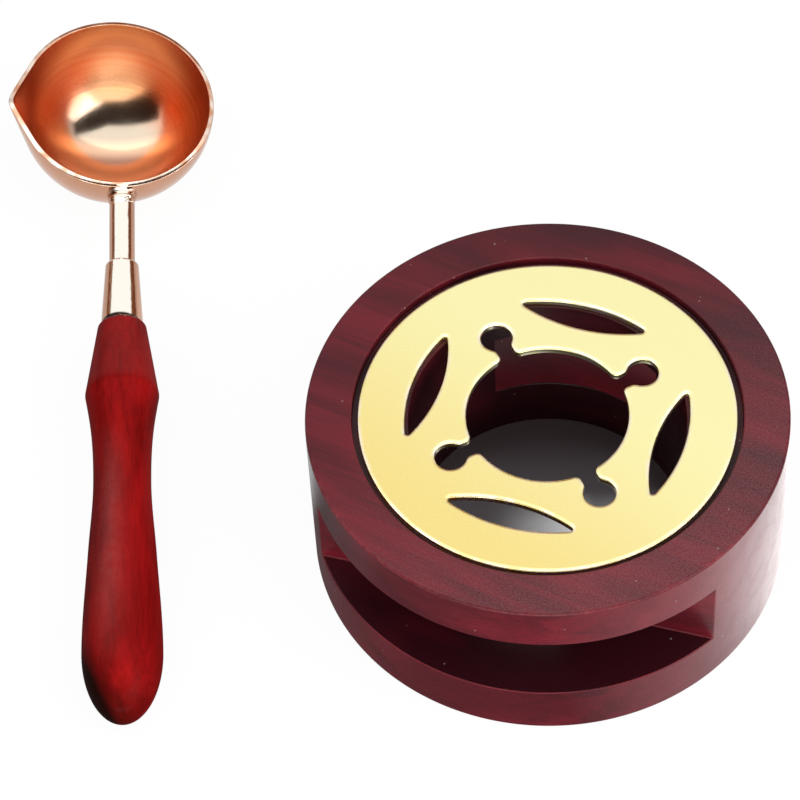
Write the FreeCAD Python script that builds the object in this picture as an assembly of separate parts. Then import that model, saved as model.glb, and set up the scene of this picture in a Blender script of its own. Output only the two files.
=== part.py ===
import FreeCAD, Part
import math
import os
from FreeCAD import Placement, Rotation, Vector

# Wax melting set: a turned wooden warmer with a loose brass plate, and a copper melting spoon.
# Lengths are in millimetres and angles in degrees. The origin is on the warmer's axis at table
# height, +Z is up and the front air notch faces -Y. The spoon lies on the table beside the warmer.

# Warmer drum: one turned block, built up as base slab, notch storey and top slab.
# The flat back of each notch bites into the bore, which lets air through to the candle.
base_slab_height = 9.5
notch_height = 13.0
top_slab_height = 8.0
drum_ring_width = 6.9
drum_edge_round = 0.5
candle_bore_diameter = 41.5
front_notch_bite = 1.25
rear_notch_bite = 4.25

# Brass plate, loose in the recess of the drum's top
plate_diameter = 56.4
plate_thickness = 1.2
plate_edge_bevel = 0.25
plate_side_gap = 0.9
plate_sink = 0.5
plate_turn = -2.25

# Cut-outs of the plate: the bowl's hole with its keyholes, and the leaf-shaped air slots
bowl_hole_diameter = 24.2
keyhole_count = 4
keyhole_first_angle = 45.0
keyhole_neck_width = 2.5
keyhole_neck_length = 4.05
keyhole_end_diameter = 4.8
hole_corner_share = 0.48
end_corner_share = 0.7
leaf_count = 4
leaf_pitch_radius = 18.85
leaf_length = 20.4
leaf_width = 4.35
leaf_tip_share = 0.1

# Spoon bowl: a ball drawn out to a point on one side, hollow, and cut off level at the rim.
# It is tipped towards the handle, and rolled so that its spout rises.
bowl_rim_diameter = 31.7
bowl_depth = 16.9
bowl_wall = 0.7
spout_half_angle = 62.0
bowl_tip_angle = 4.4
bowl_roll_angle = 8.3

# Stem: a rod that ends in a slanted cut, brazed to the bowl just under its rim
stem_diameter = 4.1
stem_drop_below_rim = 2.6
stem_side_offset = 0.65
stem_bare_length = 14.3
stem_cut_angle = 26.0
braze_length = 1.4
braze_swell = 0.3
tang_length = 18.0
tang_clearance = 0.08

# Ferrule: a tapered collar on the stem
ferrule_length = 11.7
ferrule_front_wall = 0.52
ferrule_back_wall = 1.24

# Handle: a short cone up to a ridge, a hollow to the waist, a swell and a rounded butt
handle_length = 70.2
handle_front_lip = 0.45
handle_ridge_diameter = 11.6
handle_waist_diameter = 8.95
handle_swell_diameter = 12.3
handle_round_share = 0.8
ridge_place_share = 0.183
hollow_place_share = 0.272
waist_place_share = 0.41
flank_place_share = 0.59
swell_place_share = 0.835
hollow_fall_share = 0.69
flank_rise_share = 0.46
ridge_slope_share = 1.1

# Where the spoon lies: under the bowl's centre, and the way its handle points
spoon_place_x = -86.3
spoon_place_y = 52.74
spoon_heading = -72.1
rest_gap = 0.05

# One overrun serves all cuts
overrun = 2.0

# Sizes that follow from the ones above
plate_radius = plate_diameter / 2
recess_radius = plate_radius + plate_side_gap
recess_depth = plate_thickness + plate_sink
drum_radius = recess_radius + drum_ring_width
drum_height = base_slab_height + notch_height + top_slab_height
bore_radius = candle_bore_diameter / 2
front_notch_depth = drum_radius - bore_radius + front_notch_bite
rear_notch_depth = drum_radius - bore_radius + rear_notch_bite
plate_bottom = drum_height - recess_depth
bowl_hole_radius = bowl_hole_diameter / 2
rim_radius = bowl_rim_diameter / 2
ball_radius = (rim_radius ** 2 + bowl_depth ** 2) / (2 * bowl_depth)
rim_level = bowl_depth - ball_radius
spout_rise = math.degrees(math.asin(rim_level * math.sin(math.radians(spout_half_angle)) / ball_radius))
stem_radius = stem_diameter / 2
tip = math.radians(bowl_tip_angle)
near_rim_level = rim_level * math.cos(tip) - rim_radius * math.sin(tip)
stem_level = near_rim_level - stem_drop_below_rim
braze_start = math.sqrt(ball_radius ** 2 - stem_level ** 2 - stem_side_offset ** 2)
stem_start = braze_start + braze_length
ferrule_start = braze_start + stem_bare_length
handle_start = ferrule_start + ferrule_length
sleeve_radius = stem_radius + tang_clearance
ferrule_back_radius = sleeve_radius + ferrule_back_wall
swell_place = handle_start + handle_length * swell_place_share
swell_radius = handle_swell_diameter / 2

UP = Vector(0, 0, 1)
ALONG = Vector(1, 0, 0)
ACROSS = Vector(0, 1, 0)


def cylinder(radius, height, base_level):
    """An upright cylinder on the Z axis."""
    return Part.makeCylinder(radius, height, Vector(0, 0, base_level), UP)


def upright_edges(shape, inner_radius, outer_radius):
    """The straight vertical edges whose distance from the Z axis lies between the two radii."""
    found = []
    for edge in shape.Edges:
        first, last = edge.firstVertex().Point, edge.lastVertex().Point
        place = math.hypot(first.x, first.y)
        if Vector(first.x - last.x, first.y - last.y, 0).Length < Part.Precision.confusion():
            if inner_radius < place < outer_radius:
                found.append(edge)
    return found


def turned(outline, axis_point, axis):
    """A solid turned from a closed outline of edges."""
    face = Part.Face(Part.Wire(outline))
    return face.revolve(axis_point, axis, 360)


def notch(depth, direction):
    """A flat-backed slot across one side of the drum, open along its whole front."""
    width = 2 * (drum_radius + overrun)
    slot = Part.makeBox(width, depth + overrun, notch_height)
    slot.translate(Vector(-width / 2, drum_radius - depth, base_slab_height))
    slot.rotate(Vector(), UP, direction)
    return slot


def make_drum():
    block = cylinder(drum_radius, drum_height, 0)
    rims = [edge for edge in block.Edges if edge.isClosed()]
    block = block.makeFillet(drum_edge_round, rims)
    bore = cylinder(bore_radius, drum_height + 2 * overrun, -overrun)
    recess = cylinder(recess_radius, recess_depth + overrun, plate_bottom)
    rear = notch(rear_notch_depth, 0)
    front = notch(front_notch_depth, 180)
    return block.cut([bore, recess, rear, front])


def keyhole(angle):
    """A round end joined to the middle hole by a narrow neck."""
    end_place = bowl_hole_radius + keyhole_neck_length
    height = plate_thickness + 2 * overrun
    end = Part.makeCylinder(keyhole_end_diameter / 2, height, Vector(end_place, 0, -overrun), UP)
    neck = Part.makeBox(end_place, keyhole_neck_width, height, Vector(0, -keyhole_neck_width / 2, -overrun))
    cutter = end.fuse(neck)
    cutter.rotate(Vector(), UP, angle)
    return cutter


def leaf(angle):
    """A slot between two arcs that meet in points, set across the radius."""
    half = leaf_length / 2
    inner_point = Vector(leaf_pitch_radius - leaf_width / 2, 0, -overrun)
    outer_point = Vector(leaf_pitch_radius + leaf_width / 2, 0, -overrun)
    left_point = Vector(leaf_pitch_radius, half, -overrun)
    right_point = Vector(leaf_pitch_radius, -half, -overrun)
    inner_arc = Part.Arc(left_point, inner_point, right_point).toShape()
    outer_arc = Part.Arc(right_point, outer_point, left_point).toShape()
    face = Part.Face(Part.Wire([inner_arc, outer_arc]))
    cutter = face.extrude(UP * (plate_thickness + 2 * overrun))
    cutter.rotate(Vector(), UP, angle)
    return cutter


def make_plate():
    disc = cylinder(plate_radius, plate_thickness, 0)
    top_rim = [edge for edge in disc.Edges if edge.isClosed() and edge.BoundBox.ZMin > 0]
    disc = disc.makeChamfer(plate_edge_bevel, top_rim)
    keyholes = [keyhole(keyhole_first_angle + k * 360 / keyhole_count) for k in range(keyhole_count)]
    leaves = [leaf(k * 360 / leaf_count) for k in range(leaf_count)]
    hole = cylinder(bowl_hole_radius, plate_thickness + 2 * overrun, -overrun)
    plate = disc.cut([hole] + keyholes + leaves)

    # Soften the neck's corners. Each round is a share of the neck's straight side.
    half_neck = keyhole_neck_width / 2
    inner_corner = math.sqrt(bowl_hole_radius ** 2 - half_neck ** 2)
    end_setback = math.sqrt((keyhole_end_diameter / 2) ** 2 - half_neck ** 2)
    outer_corner = bowl_hole_radius + keyhole_neck_length - end_setback
    side = outer_corner - inner_corner
    middle = math.hypot((inner_corner + outer_corner) / 2, half_neck)
    end_place = bowl_hole_radius + keyhole_neck_length
    plate = plate.makeFillet(side * hole_corner_share, upright_edges(plate, inner_corner, middle))
    plate = plate.makeFillet(side * end_corner_share, upright_edges(plate, middle, end_place))
    tip_place = math.hypot(leaf_pitch_radius, leaf_length / 2)
    tips = upright_edges(plate, (end_place + tip_place) / 2, (tip_place + plate_radius) / 2)
    plate = plate.makeFillet(leaf_width * leaf_tip_share, tips)
    plate.rotate(Vector(), UP, plate_turn)
    plate.translate(UP * plate_bottom)
    return plate


def drawn_ball(radius):
    """A turned ball with a cone drawn out tangent to it towards -Y, and up to the rim's level."""
    spread = math.radians(spout_half_angle)
    back_pole = Vector(0, radius, 0)
    crown = Vector(0, 0, radius)
    tangent = Vector(0, -radius * math.sin(spread), radius * math.cos(spread))
    apex = Vector(0, -radius / math.sin(spread), 0)
    arc = Part.Arc(back_pole, crown, tangent).toShape()
    outline = [arc, Part.makeLine(tangent, apex), Part.makeLine(apex, back_pole)]
    ball = turned(outline, Vector(), ACROSS)
    ball.rotate(Vector(), ALONG, -spout_rise)
    return ball


def set_on_stem(shape):
    """Roll the bowl so that its spout rises, and tip its rim towards the handle."""
    shape.rotate(Vector(), ALONG, -bowl_roll_angle)
    shape.rotate(Vector(), ACROSS, bowl_tip_angle)
    return shape


def on_axis(place):
    """A point on the axis of stem, ferrule and handle, at a distance from the bowl's centre."""
    return Vector(place, stem_side_offset, stem_level)


def make_bowl():
    shell = drawn_ball(ball_radius).cut(drawn_ball(ball_radius - bowl_wall))
    size = 4 * ball_radius
    below_rim = Part.makeBox(size, size, size, Vector(-size / 2, -size / 2, rim_level - size))
    return set_on_stem(shell.common(below_rim))


def stem_side(length):
    """The space on the stem's side of its slanted cut."""
    half = length / 2
    block = Part.makeBox(length, length, length, Vector(0, -half, -half))
    block.rotate(Vector(), ACROSS, stem_cut_angle)
    block.translate(on_axis(stem_start))
    return block


def make_stem():
    length = handle_start + tang_length - braze_start
    rod = Part.makeCylinder(stem_radius, length, on_axis(braze_start), ALONG)
    return rod.common(stem_side(3 * length))


def make_braze():
    length = stem_start + stem_diameter
    swollen = stem_radius + braze_swell
    bead = Part.makeCone(swollen, stem_radius, length, on_axis(0), ALONG)
    bead = bead.cut(stem_side(2 * length))
    return bead.cut(set_on_stem(drawn_ball(ball_radius)))


def make_ferrule():
    front_radius = sleeve_radius + ferrule_front_wall
    front = on_axis(ferrule_start)
    collar = Part.makeCone(front_radius, ferrule_back_radius, ferrule_length, front, ALONG)
    sleeve = Part.makeCylinder(sleeve_radius, ferrule_length, front, ALONG)
    return collar.cut(sleeve)


def handle_point(place_share, radius):
    return on_axis(handle_start + handle_length * place_share) + UP * radius


def make_handle():
    ridge_radius = handle_ridge_diameter / 2
    waist_radius = handle_waist_diameter / 2
    front_radius = ferrule_back_radius + handle_front_lip
    hollow_radius = ridge_radius - (ridge_radius - waist_radius) * hollow_fall_share
    flank_radius = waist_radius + (swell_radius - waist_radius) * flank_rise_share
    front = handle_point(0, 0)
    shoulder = handle_point(0, front_radius)
    ridge = handle_point(ridge_place_share, ridge_radius)
    hollow = handle_point(hollow_place_share, hollow_radius)
    waist = handle_point(waist_place_share, waist_radius)
    flank = handle_point(flank_place_share, flank_radius)
    swell = handle_point(swell_place_share, swell_radius)
    swell_centre = handle_point(swell_place_share, 0)
    butt = handle_point(1, 0)

    grip = Part.BSplineCurve()
    fall = (hollow - ridge) * ridge_slope_share
    grip.interpolate([ridge, hollow, waist, flank, swell], InitialTangent=fall, FinalTangent=ALONG)
    rounding = Part.ArcOfEllipse(Part.Ellipse(butt, swell, swell_centre), 0, math.pi / 2)
    outline = [
        Part.makeLine(front, shoulder),
        Part.makeLine(shoulder, ridge),
        grip.toShape(),
        rounding.toShape(),
        Part.makeLine(butt, front),
    ]
    handle = turned(Part.sortEdges(outline)[0], front, ALONG)
    front_rims = [edge for edge in handle.Edges if edge.BoundBox.XMax < handle_start + handle_front_lip]
    handle = handle.makeFillet(handle_front_lip * handle_round_share, front_rims)
    bore = Part.makeCylinder(sleeve_radius, tang_length + tang_clearance, front, ALONG)
    return handle.cut(bore)


def laid_down(shape):
    """Lay a spoon piece on the table, resting on the bowl's bottom and the handle's swell."""
    depth = swell_radius - stem_level
    lean = math.asin(ball_radius / math.hypot(depth, swell_place)) - math.atan2(depth, swell_place)
    turn = Rotation(UP, spoon_heading).multiply(Rotation(ACROSS, math.degrees(lean)))
    place = Vector(spoon_place_x, spoon_place_y, ball_radius + rest_gap)
    shape.Placement = Placement(place, turn).multiply(shape.Placement)
    return shape


pieces = {
    "warmer_drum": make_drum(),
    "brass_plate": make_plate(),
    "spoon_bowl": laid_down(make_bowl()),
    "braze_bead": laid_down(make_braze()),
    "spoon_stem": laid_down(make_stem()),
    "spoon_ferrule": laid_down(make_ferrule()),
    "spoon_handle": laid_down(make_handle()),
}

os.makedirs("parts", exist_ok=True)
for name, shape in pieces.items():
    box = shape.BoundBox
    print(f"{name}: {len(shape.Solids)} solid, valid {shape.isValid()}, {shape.Volume:.1f} mm3, "
          f"x {box.XMin:.2f}..{box.XMax:.2f}, y {box.YMin:.2f}..{box.YMax:.2f}, "
          f"z {box.ZMin:.2f}..{box.ZMax:.2f}")
    shape.exportStep(f"parts/{name}.step")
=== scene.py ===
# %% [markdown]
# # A wax melting set: warmer, pierced plate and melting spoon
# The set stands on a pale table: a turned wooden warmer, a loose brass plate in its top, and a
# copper spoon with a red handle beside it. The measured model is loaded first and never moved.
# Each piece below is then built as a finer mesh in the same place, with its own finish.

# %% Load the measured model
import math

import bmesh
import bpy
import numpy as np
from mathutils import Matrix, Vector, noise


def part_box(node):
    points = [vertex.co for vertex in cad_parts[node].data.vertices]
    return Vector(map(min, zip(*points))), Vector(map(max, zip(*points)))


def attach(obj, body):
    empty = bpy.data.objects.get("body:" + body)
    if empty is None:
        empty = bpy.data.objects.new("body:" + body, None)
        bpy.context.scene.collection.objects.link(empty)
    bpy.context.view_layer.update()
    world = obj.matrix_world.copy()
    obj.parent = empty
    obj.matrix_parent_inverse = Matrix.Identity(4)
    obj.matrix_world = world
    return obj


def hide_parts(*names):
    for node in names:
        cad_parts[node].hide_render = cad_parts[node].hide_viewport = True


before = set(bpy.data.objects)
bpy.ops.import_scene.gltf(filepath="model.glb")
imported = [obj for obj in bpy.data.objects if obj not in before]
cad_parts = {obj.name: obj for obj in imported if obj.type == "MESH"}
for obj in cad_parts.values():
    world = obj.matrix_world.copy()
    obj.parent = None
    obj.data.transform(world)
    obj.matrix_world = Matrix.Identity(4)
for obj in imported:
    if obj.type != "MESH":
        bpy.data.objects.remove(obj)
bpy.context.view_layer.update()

scene = bpy.context.scene
scene.view_settings.view_transform = "Standard"

# %% [markdown]
# ## Small helpers
# Node trees are easier to read when a node, its settings and what feeds it take one call. An input
# is named by its label, and its value is either a plain value or the socket that feeds it.

# %% Node helpers
FLOAT, COLOUR, VECTOR = "NodeSocketFloat", "NodeSocketColor", "NodeSocketVector"
GEOMETRY, INTEGER, MATERIAL = "NodeSocketGeometry", "NodeSocketInt", "NodeSocketMaterial"


def feed(tree, socket, value):
    """Link a socket to an input, or set the input's plain value."""
    if isinstance(value, bpy.types.NodeSocket):
        tree.links.new(value, socket)
    elif value is not None:
        socket.default_value = value


def add_node(tree, kind, inputs=None, **settings):
    node = tree.nodes.new(kind)
    for name, value in settings.items():
        setattr(node, name, value)
    for name, value in (inputs or {}).items():
        feed(tree, node.inputs[name], value)
    return node


def made_by(tree, kind, output, inputs=None, **settings):
    """One output of a new node."""
    return add_node(tree, kind, inputs, **settings).outputs[output]


def calculate(tree, operation, *operands):
    """The result of a Math node."""
    node = add_node(tree, "ShaderNodeMath", operation=operation)
    for socket, value in zip(node.inputs, operands):
        feed(tree, socket, value)
    return node.outputs["Value"]


def times(tree, first, second):
    return calculate(tree, "MULTIPLY", first, second)


def plus(tree, first, second):
    return calculate(tree, "ADD", first, second)


def mix_colours(tree, factor, first, second):
    """The colour result of a Mix node."""
    node = add_node(tree, "ShaderNodeMix", {"Factor": factor}, data_type="RGBA")
    colours = [socket for socket in node.inputs if socket.type == "RGBA"]
    feed(tree, colours[0], first)
    feed(tree, colours[1], second)
    return next(socket for socket in node.outputs if socket.type == "RGBA")


def spread(tree, value, low, high, to_low=0.0, to_high=1.0):
    """A value moved smoothly from one range to another."""
    inputs = {"Value": value, "From Min": low, "From Max": high, "To Min": to_low, "To Max": to_high}
    return made_by(tree, "ShaderNodeMapRange", "Result", inputs, interpolation_type="SMOOTHSTEP")


def new_group(name, kind, inputs, outputs):
    """An empty node group. Inputs are (label, socket type, default) and outputs (label, type)."""
    tree = bpy.data.node_groups.new(name, kind)
    for label, socket_type, default in inputs:
        socket = tree.interface.new_socket(label, in_out="INPUT", socket_type=socket_type)
        if default is not None:
            socket.default_value = default
    for label, socket_type in outputs:
        tree.interface.new_socket(label, in_out="OUTPUT", socket_type=socket_type)
    return tree, tree.nodes.new("NodeGroupInput").outputs, tree.nodes.new("NodeGroupOutput").inputs


# %% [markdown]
# ## The camera
# The photograph looks down at about 54 degrees through a long lens, a little turned and rolled.
# A long lens keeps the drum's round top close to a true ellipse, so the lens matters as much as
# the place. A camera set by eye would drift from both, so its place, turns and lens are the ones at
# which the drum's outlines fit.

# %% Camera
camera_place = Vector((0.088573, -0.327939, 0.495504))
camera_turn, camera_elevation, camera_roll = 18.77, 53.6, 3.67
camera_lens = 174.76

camera_data = bpy.data.cameras.new("camera")
camera_data.lens = camera_lens
camera = bpy.data.objects.new("camera", camera_data)
scene.collection.objects.link(camera)
scene.camera = camera
facing = Matrix.Rotation(math.radians(camera_turn), 4, "Z")
facing @= Matrix.Rotation(math.radians(90 - camera_elevation), 4, "X")
facing @= Matrix.Rotation(math.radians(-camera_roll), 4, "Z")
camera.matrix_world = Matrix.Translation(camera_place) @ facing
print("the camera stands", round(camera_place.length, 3), "m from the drum's foot")

# %% [markdown]
# ## Wood grain, a shared group
# Drum and handle are both stained hardwood. Stain lies unevenly on real wood: long soft streaks,
# fine fibres along the grain, and short dark pores. Three noises, each stretched along the grain,
# give that, and a fourth gives the fine pebbling of sprayed lacquer. The group takes coordinates
# that are already turned so that X runs along the grain.

# %% Wood grain group
def noise_value(tree, vector, scale, detail, distortion=0.0):
    """The value of a noise at a place."""
    inputs = {"Vector": vector, "Scale": scale, "Detail": detail, "Distortion": distortion}
    return made_by(tree, "ShaderNodeTexNoise", "Fac", inputs)


def stretched(tree, vector, scale, turn=(0, 0, 0)):
    """Coordinates that are turned and stretched, for a pattern that runs along a piece."""
    inputs = {"Vector": vector, "Scale": scale, "Rotation": turn}
    return made_by(tree, "ShaderNodeMapping", "Vector", inputs)


def make_wood_group():
    tree, given, result = new_group("wood_grain", "ShaderNodeTree", [
        ("Vector", VECTOR, None),
        ("Light", COLOUR, (0.2, 0.03, 0.03, 1)),
        ("Dark", COLOUR, (0.05, 0.01, 0.01, 1)),
        ("Streak Scale", FLOAT, 60.0),
        ("Streak Amount", FLOAT, 0.5),
        ("Fibre Amount", FLOAT, 0.3),
        ("Pebble Amount", FLOAT, 0.5),
    ], [("Color", COLOUR), ("Sheen", FLOAT), ("Height", FLOAT)])
    wide = stretched(tree, given["Vector"], (0.1, 1, 1))
    thin = stretched(tree, given["Vector"], (0.03, 1, 1))
    streak = spread(tree, noise_value(tree, wide, given["Streak Scale"], 4.0, 0.6), 0.36, 0.7)
    fibre = spread(tree, noise_value(tree, thin, 2600.0, 3.0), 0.3, 0.7)
    pore = spread(tree, noise_value(tree, thin, 4200.0, 1.0), 0.6, 0.75)
    pebble = noise_value(tree, given["Vector"], 2400.0, 2.0)
    broad = times(tree, streak, given["Streak Amount"])
    fine = times(tree, plus(tree, fibre, pore), given["Fibre Amount"])
    shade = plus(tree, broad, fine)
    feed(tree, result["Color"], mix_colours(tree, shade, given["Light"], given["Dark"]))
    feed(tree, result["Sheen"], times(tree, plus(tree, streak, pebble), 0.5))
    grained = times(tree, calculate(tree, "SUBTRACT", fibre, pore), given["Fibre Amount"])
    pebbled = times(tree, pebble, given["Pebble Amount"])
    feed(tree, result["Height"], plus(tree, grained, pebbled))
    return tree


wood_group = make_wood_group()
print("wood grain group:", len(wood_group.nodes), "nodes")

# %% [markdown]
# ## Satin metal, a shared group
# Plated metal is never a perfect mirror. Polishing leaves fine crossing hairlines, blasting leaves
# a fine grain, and handling leaves cloudy patches where the shine is duller. One group gives them
# as a haze from 0 to 1 and a height, in which the clouds also stand for a surface that isn't true.

# %% Satin metal group
def make_metal_group():
    tree, given, result = new_group("satin_metal", "ShaderNodeTree", [
        ("Vector", VECTOR, None),
        ("Cloud Scale", FLOAT, 120.0),
        ("Hairline Scale", FLOAT, 3000.0),
        ("Grain Amount", FLOAT, 0.3),
        ("Wave Amount", FLOAT, 0.0),
    ], [("Haze", FLOAT), ("Height", FLOAT)])
    hairlines = []
    for stretch in ((0.02, 1, 1), (1, 0.03, 1)):
        drawn = stretched(tree, given["Vector"], stretch, (0.2, 0.1, 0.5))
        hairlines.append(noise_value(tree, drawn, given["Hairline Scale"], 2.0))
    cloud = spread(tree, noise_value(tree, given["Vector"], given["Cloud Scale"], 5.0), 0.3, 0.7)
    grain = noise_value(tree, given["Vector"], 5200.0, 1.0)
    scratch = times(tree, *hairlines)
    feed(tree, result["Haze"], plus(tree, times(tree, cloud, 0.6), scratch))
    wave = times(tree, cloud, given["Wave Amount"])
    blasted = times(tree, grain, given["Grain Amount"])
    uneven = plus(tree, wave, blasted)
    feed(tree, result["Height"], plus(tree, scratch, uneven))
    return tree


metal_group = make_metal_group()
print("satin metal group:", len(metal_group.nodes), "nodes")

# %% [markdown]
# ## Worn edges, painted edge highlights and dust, a shared group
# Edges that are handled lose some stain or plating, but not evenly, and the same paler edge also serves
# as a painted highlight along rims, ridges and lips. Each mesh carries an attribute named edge, which is
# 1 along its rounded corners, and noise breaks it up. Tiny pale specks of dust lie in the middles of a
# few cells of a Voronoi pattern. Scratches could be painted on by hand, but a group serves every piece
# and can be tuned for each.

# %% Wear group
clean_share = 0.93


def make_wear_highlight_group():
    tree, given, result = new_group("wear_highlight_and_dust", "ShaderNodeTree", [
        ("Vector", VECTOR, None),
        ("Edge", FLOAT, 0.0),
        ("Patch Scale", FLOAT, 350.0),
        ("Dust Scale", FLOAT, 700.0),
        ("Dust Size", FLOAT, 0.1),
    ], [("Wear And Highlight", FLOAT), ("Dust", FLOAT)])
    patch = spread(tree, noise_value(tree, given["Vector"], given["Patch Scale"], 4.0), 0.35, 0.65)
    cells = add_node(tree, "ShaderNodeTexVoronoi", {"Vector": given["Vector"], "Scale": given["Dust Scale"]})
    chance = made_by(tree, "ShaderNodeSeparateColor", "Red", {"Color": cells.outputs["Color"]})
    size = times(tree, calculate(tree, "GREATER_THAN", chance, clean_share), given["Dust Size"])
    feed(tree, result["Wear And Highlight"], times(tree, patch, given["Edge"]))
    feed(tree, result["Dust"], calculate(tree, "LESS_THAN", cells.outputs["Distance"], size))
    return tree


wear_highlight_group = make_wear_highlight_group()
print("wear group:", len(wear_highlight_group.nodes), "nodes")

# %% [markdown]
# ## Two woods
# The drum is stained a dark wine red under a satin lacquer, so its sides mirror the pale table at a
# slant. The handle is a brighter red and duller. A picture of wood could be wrapped round them, but
# it would show its seam and stretch on the round. So both use the wood grain group, with their own
# colours, and a Mapping node lays the grain along the piece. Stain soaks in unevenly, and a slow noise
# breaks that up. The meshes also mark painted shade, which darkens the wood as deep stain does, a
# painted sheen as a thin pale film where the lacquer would catch the light, and where the drum's wall
# shows end grain.

# %% Material helpers
def group_node(tree, group, inputs):
    """The outputs of a shared group, placed in a material with its own values."""
    return add_node(tree, "ShaderNodeGroup", inputs, node_tree=group).outputs


def attribute(tree, name):
    """A value that the mesh carries at each of its points."""
    return made_by(tree, "ShaderNodeAttribute", "Fac", attribute_name=name)


def start_material(name):
    """A material with its Principled shader and object coordinates."""
    material = bpy.data.materials.new(name)
    material.use_nodes = True
    tree = material.node_tree
    shader = next(node for node in tree.nodes if node.type == "BSDF_PRINCIPLED")
    return material, tree, shader, made_by(tree, "ShaderNodeTexCoord", "Object")


def raise_surface(tree, shader, height, strength, distance):
    inputs = {"Height": height, "Strength": strength, "Distance": distance}
    feed(tree, shader.inputs["Normal"], made_by(tree, "ShaderNodeBump", "Normal", inputs))


# %% Wood materials
bare_and_lit_wood, pale_dust = (0.4, 0.2, 0.19, 1), (0.75, 0.62, 0.6, 1)
wood_bump, wood_bump_height = 0.3, 0.0001
lacquer_ior, lacquer_roughness = 1.4, 0.22


def make_wood(name, grain_turn, grain_scale, grain_values, stain_and_shade, uneven, painted_sheen, sheen_scale, sheen_break,
              gloss, wear_and_highlight, dust, specular, lacquer):
    """A stained and lacquered wood, varied by its mesh's marks: edge, endgrain, painted shade and painted
    sheen.
    """
    material, tree, shader, place = start_material(name)
    turned = stretched(tree, stretched(tree, place, (1, 1, 1), grain_turn), grain_scale)
    endwise = attribute(tree, "endgrain")
    streaks = spread(tree, endwise, 0.0, 1.0, grain_values["Streak Amount"], 0.1)
    grain = group_node(tree, wood_group, {"Vector": turned, **grain_values, "Streak Amount": streaks})
    wear = group_node(tree, wear_highlight_group, {"Vector": place, "Edge": attribute(tree, "edge"),
                                         "Patch Scale": 1400.0})
    # Worn edges turn paler, and on the drum's rim and the handle's ridge that paler edge is also a painted
    # highlight
    colour = mix_colours(tree, times(tree, wear["Wear And Highlight"], wear_and_highlight), grain["Color"], bare_and_lit_wood)
    along_grain = stretched(tree, turned, (0.4, 1, 1))
    patch = spread(tree, noise_value(tree, along_grain, 90.0, 2.0), 0.3, 0.7, -uneven, uneven)
    patch = times(tree, patch, spread(tree, endwise, 0.0, 1.0, 1.0, 0.2))
    # Painted shade that the mesh marks, plus uneven patches of the wood's own staining
    soak_and_shade = plus(tree, attribute(tree, "stain_and_shade"), patch)
    soak_and_shade = calculate(tree, "MINIMUM", calculate(tree, "MAXIMUM", soak_and_shade, 0.0), 1.0)
    colour = mix_colours(tree, soak_and_shade, colour, (*stain_and_shade, 1))
    broken = spread(tree, noise_value(tree, place, sheen_scale, 3.0), 0.35, 0.65, sheen_break, 1.0)
    # Painted sheen: a thin pale film where the mesh marks it, broken up by noise
    colour = mix_colours(tree, times(tree, attribute(tree, "painted_sheen"), broken), colour, (*painted_sheen, 1))
    colour = mix_colours(tree, times(tree, wear["Dust"], dust), colour, pale_dust)
    raise_surface(tree, shader, grain["Height"], wood_bump, wood_bump_height)
    inputs = {"Base Color": colour, "Roughness": spread(tree, grain["Sheen"], 0.2, 0.8, *gloss),
              "Specular IOR Level": specular, "Coat Weight": lacquer, "Coat IOR": lacquer_ior,
              "Coat Roughness": lacquer_roughness}
    for label, value in inputs.items():
        feed(tree, shader.inputs[label], value)
    return material


drum_wood = make_wood(
    "drum_wood", grain_turn=(0, 0, 0.2), grain_scale=(1, 1, 1),
    grain_values={"Light": (0.22, 0.014, 0.026, 1), "Dark": (0.05, 0.007, 0.012, 1), "Streak Scale": 240.0,
                  "Streak Amount": 0.5, "Fibre Amount": 0.22, "Pebble Amount": 0.9},
    stain_and_shade=(0.03, 0.004, 0.007), uneven=0.25, painted_sheen=(0.46, 0.32, 0.33), sheen_scale=4200.0, sheen_break=0.2,
    gloss=(0.3, 0.36), wear_and_highlight=0.1, dust=0.3, specular=0.13, lacquer=0.35)
handle_wood = make_wood(
    "handle_wood", grain_turn=(0, 0, 1.258), grain_scale=(2.5, 1, 1),
    grain_values={"Light": (0.43, 0.009, 0.009, 1), "Dark": (0.11, 0.003, 0.003, 1), "Streak Scale": 230.0,
                  "Streak Amount": 0.5, "Fibre Amount": 0.2, "Pebble Amount": 0.3},
    stain_and_shade=(0.012, 0.002, 0.001), uneven=0.08, painted_sheen=(0.42, 0.15, 0.14), sheen_scale=700.0, sheen_break=0.7,
    gloss=(0.34, 0.46), wear_and_highlight=0.35, dust=0.0, specular=0.0, lacquer=0.06)
print("woods:", drum_wood.name, handle_wood.name)

# %% [markdown]
# ## Three metals
# The plate is pale brass, blasted to a fine grain, with a painted shade that deepens its colour towards the
# front. Stem, braze and ferrule share a polished rose gold plating, bright on top and painted darker brown
# at the sides, a painted reflection. The bowl is copper: polished outside, and inside spun and satin, with
# painted highlights on its far side and painted shade at the spout. Attributes of the meshes tell these
# places apart, because a plain metal would look like one sheet of foil. A metal's look is mostly what it
# mirrors, so the lights matter here.

# %% Metal materials
# The dark colour stands for painted shade in the joints at the ferrule and the braze, and for a dark mark at
# the spout's tip
dark_mark, bright_edge = (0.03, 0.014, 0.01, 1), (0.98, 0.9, 0.8, 1)
metal_bump_height = 0.00005


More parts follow.
